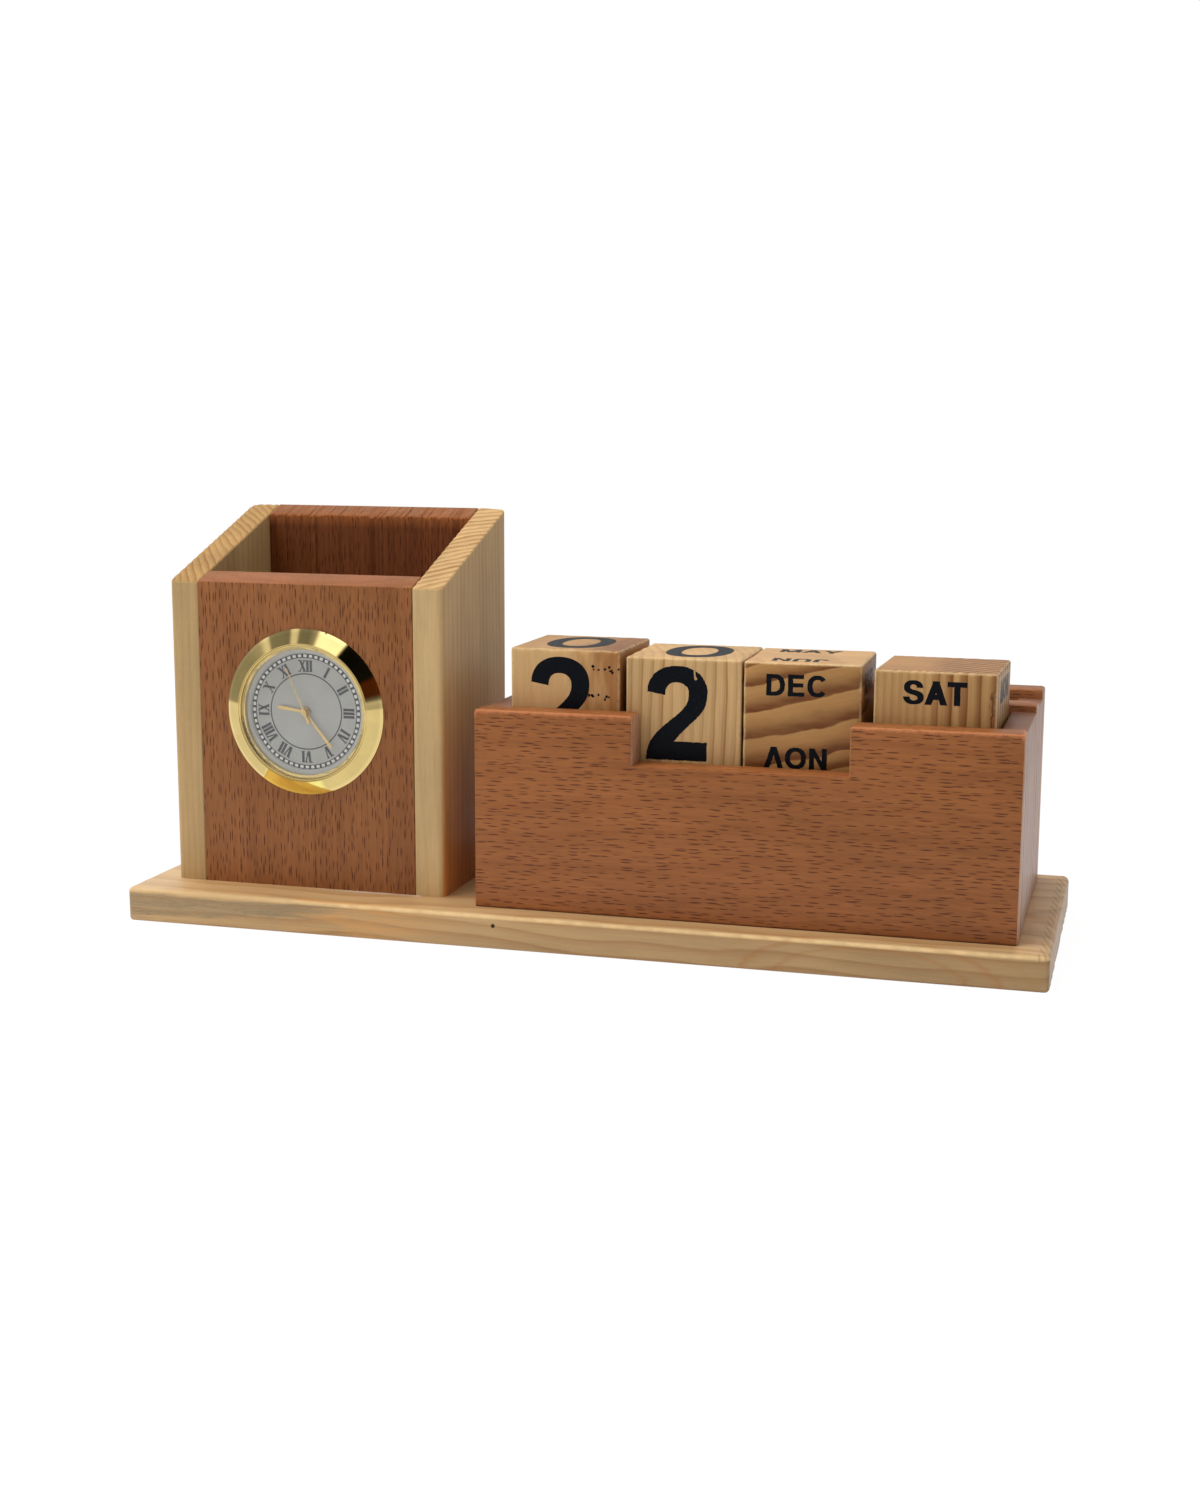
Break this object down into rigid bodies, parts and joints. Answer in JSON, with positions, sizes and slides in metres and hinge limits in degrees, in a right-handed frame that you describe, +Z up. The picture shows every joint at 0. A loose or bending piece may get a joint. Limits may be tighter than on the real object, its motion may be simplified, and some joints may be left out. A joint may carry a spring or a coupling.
{
  "type": "desk clock with calendar",
  "caption": "Wooden desk clock with a pen cup, a card slot and loose calendar blocks standing in a notched tray on one base board.",
  "frame": {"origin": "centre of the base board's underside, on the desk", "axes": "+X along the base to the reader's right, -Y to the reader, +Z up"},
  "size_m": [0.2046, 0.073, 0.0915],
  "materials": {
    "pine_base": "clear satin varnish over pine, straight grain along the base",
    "pine_sides": "clear satin varnish over pale pine, upright grain",
    "beech_cup": "satin varnish over red-brown beech with short dark flecks",
    "beech_tray": "satin varnish over orange-brown beech with short dark flecks",
    "pine_blocks": "clear satin varnish over pine with bold grain",
    "zinc_steel": "zinc plated",
    "gold_plate": "polished pale gold plate",
    "gold_hands": "satin gold",
    "clear_lens": "clear, polished",
    "dark_plastic": "moulded black",
    "grip_rubber": "matt black",
    "white_ring": "off-white",
    "silver_dial": "matt silver grey",
    "steel_parts": "fine satin",
    "brass_parts": "satin",
    "copper_wire": "enamelled copper wire",
    "green_board": "solder mask",
    "magnet": "sintered"
  },
  "bodies": {
    "stand": {"base_board": "pine_base", "base_screws": "zinc_steel", "cup_left_side": "pine_sides", "cup_right_side": "pine_sides", "cup_front_panel": "beech_cup", "cup_back_panel": "beech_cup", "tray_front_panel": "beech_tray", "tray_middle_panel": "beech_tray", "tray_back_panel": "beech_tray", "block_shelf": "pine_base", "left_front_spacer": "beech_tray", "right_front_spacer": "beech_tray", "left_rear_spacer": "beech_tray", "right_rear_spacer": "beech_tray"},
    "tens": {"tens_block": "pine_blocks"},
    "units": {"units_block": "pine_blocks"},
    "month": {"month_block": "pine_blocks"},
    "weekday": {"weekday_block": "pine_blocks"},
    "clock": {"clock_bezel": "gold_plate", "clock_lens": "clear_lens", "clock_case": "dark_plastic", "grip_ring": "grip_rubber", "dial_ring": "white_ring", "dial": "silver_dial", "movement_holder": "dark_plastic", "back_cover": "steel_parts", "main_plate": "brass_parts", "train_bridge": "brass_parts", "movement_screws": "steel_parts", "battery": "steel_parts", "battery_clip": "steel_parts", "coil_core": "steel_parts", "coil_winding": "copper_wire", "stator": "steel_parts", "circuit_board": "green_board", "timing_chip": "dark_plastic", "quartz_crystal": "steel_parts"},
    "seconds": {"second_hand": "gold_hands", "seconds_wheel": "brass_parts"},
    "minutes": {"minute_hand": "gold_hands", "centre_wheel": "brass_parts"},
    "hours": {"hour_hand": "gold_hands", "hour_wheel": "brass_parts"},
    "minute_gear": {"minute_wheel": "brass_parts"},
    "third_gear": {"third_wheel": "brass_parts"},
    "fifth_gear": {"fifth_wheel": "brass_parts"},
    "rotor_set": {"rotor": "brass_parts", "rotor_magnet": "magnet"},
    "lever": {"setting_lever": "steel_parts"},
    "crown_set": {"setting_stem": "steel_parts", "clutch_pinion": "steel_parts", "crown": "steel_parts"}
  },
  "joints": [
    {"name": "tens_lift", "type": "slide", "parent": "stand", "child": "tens", "axis": [0, 0, 1], "range_m": [0, 0.03]},
    {"name": "units_lift", "type": "slide", "parent": "stand", "child": "units", "axis": [0, 0, 1], "range_m": [0, 0.03]},
    {"name": "month_lift", "type": "slide", "parent": "stand", "child": "month", "axis": [0, 0, 1], "range_m": [0, 0.03]},
    {"name": "weekday_lift", "type": "slide", "parent": "stand", "child": "weekday", "axis": [0, 0, 1], "range_m": [0, 0.03]},
    {"name": "clock_pull", "type": "slide", "parent": "stand", "child": "clock", "axis": [0, -1, 0], "range_m": [0, 0.014]},
    {"name": "second_spin", "type": "hinge", "parent": "clock", "child": "seconds", "pos_m": [-0.06265, -0.025, 0.0479], "axis": [0, 1, 0], "continuous": true},
    {"name": "minute_spin", "type": "hinge", "parent": "clock", "child": "minutes", "pos_m": [-0.06265, -0.025, 0.0479], "axis": [0, 1, 0], "continuous": true},
    {"name": "hour_spin", "type": "hinge", "parent": "clock", "child": "hours", "pos_m": [-0.06265, -0.025, 0.0479], "axis": [0, 1, 0], "continuous": true},
    {"name": "minute_gear_spin", "type": "hinge", "parent": "clock", "child": "minute_gear", "pos_m": [-0.06081, -0.025, 0.04944], "axis": [0, 1, 0], "continuous": true},
    {"name": "third_gear_spin", "type": "hinge", "parent": "clock", "child": "third_gear", "pos_m": [-0.06312, -0.025, 0.05056], "axis": [0, 1, 0], "continuous": true},
    {"name": "fifth_gear_spin", "type": "hinge", "parent": "clock", "child": "fifth_gear", "pos_m": [-0.0613, -0.025, 0.04556], "axis": [0, 1, 0], "continuous": true},
    {"name": "rotor_spin", "type": "hinge", "parent": "clock", "child": "rotor_set", "pos_m": [-0.05936, -0.025, 0.04444], "axis": [0, 1, 0], "continuous": true},
    {"name": "crown_pull", "type": "slide", "parent": "clock", "child": "lever", "axis": [1, 0, 0], "range_m": [0, 0.0006]},
    {"name": "crown_turn", "type": "hinge", "parent": "lever", "child": "crown_set", "pos_m": [-0.05465, -0.02225, 0.0479], "axis": [1, 0, 0], "continuous": true}
  ],
  "couplings": [
    {"joint": "minute_spin", "follows": "second_spin", "ratio": 0.016667},
    {"joint": "hour_spin", "follows": "second_spin", "ratio": 0.0013889},
    {"joint": "minute_gear_spin", "follows": "second_spin", "ratio": -0.0055556},
    {"joint": "third_gear_spin", "follows": "second_spin", "ratio": -0.13333},
    {"joint": "fifth_gear_spin", "follows": "second_spin", "ratio": -5},
    {"joint": "rotor_spin", "follows": "second_spin", "ratio": 30}
  ]
}
